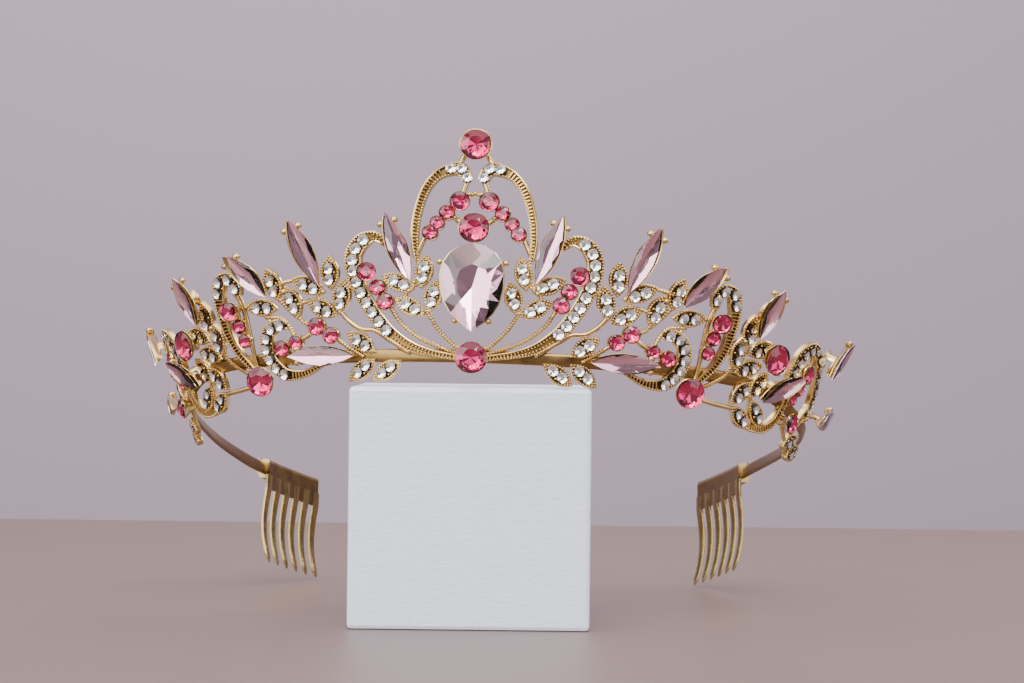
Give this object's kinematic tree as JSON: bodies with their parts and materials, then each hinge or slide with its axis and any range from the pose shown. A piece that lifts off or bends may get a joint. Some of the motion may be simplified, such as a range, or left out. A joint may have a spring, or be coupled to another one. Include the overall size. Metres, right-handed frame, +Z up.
{
  "type": "tiara on a display block",
  "caption": "Pierced tiara in pale gold with clear, pink and rose stones and two hair combs, leaning on a small white display cube.",
  "frame": {"origin": "centre of the display block's underside, on the surface it stands on", "axes": "+X to the wearer's left as seen from the front, +Y from the front of the tiara towards its combs, +Z up"},
  "size_m": [0.158, 0.1275, 0.1037],
  "materials": {
    "pale_gold": "pale gold plate, polished high spots and a darker wash in the recesses",
    "comb_gold": "gold plate on stamped sheet",
    "white_leatherette": "fine grained white leatherette",
    "pink_glass": "foiled coral pink cut glass",
    "rose_glass": "foiled pale rose cut glass"
  },
  "bodies": {
    "root": {"base_stone": "pink_glass", "branch_pink_stone_left": "pink_glass", "branch_pink_stone_right": "pink_glass", "comb_left": "comb_gold", "comb_right": "comb_gold", "crest_stone": "pink_glass", "display_block": "white_leatherette", "end_pink_stone_left": "pink_glass", "end_pink_stone_right": "pink_glass", "hook_1_pink_stone_left": "pink_glass", "hook_1_pink_stone_right": "pink_glass", "hook_2_pink_stone_left": "pink_glass", "hook_2_pink_stone_right": "pink_glass", "lower_pink_stone_left": "pink_glass", "lower_pink_stone_right": "pink_glass", "marquise_stone_1_left": "rose_glass", "marquise_stone_1_right": "rose_glass", "marquise_stone_2_left": "rose_glass", "marquise_stone_2_right": "rose_glass", "marquise_stone_3_left": "rose_glass", "marquise_stone_3_right": "rose_glass", "marquise_stone_4_left": "rose_glass", "marquise_stone_4_right": "rose_glass", "marquise_stone_5_left": "rose_glass", "marquise_stone_5_right": "rose_glass", "marquise_stone_6_left": "rose_glass", "marquise_stone_6_right": "rose_glass", "marquise_stone_7_left": "rose_glass", "marquise_stone_7_right": "rose_glass", "marquise_stone_8_left": "rose_glass", "marquise_stone_8_right": "rose_glass", "middle_stone": "pink_glass", "pear_stone": "rose_glass", "tiara_frame": "pale_gold", "upper_pink_stone_left": "pink_glass", "upper_pink_stone_right": "pink_glass"}
  },
  "joints": []
}
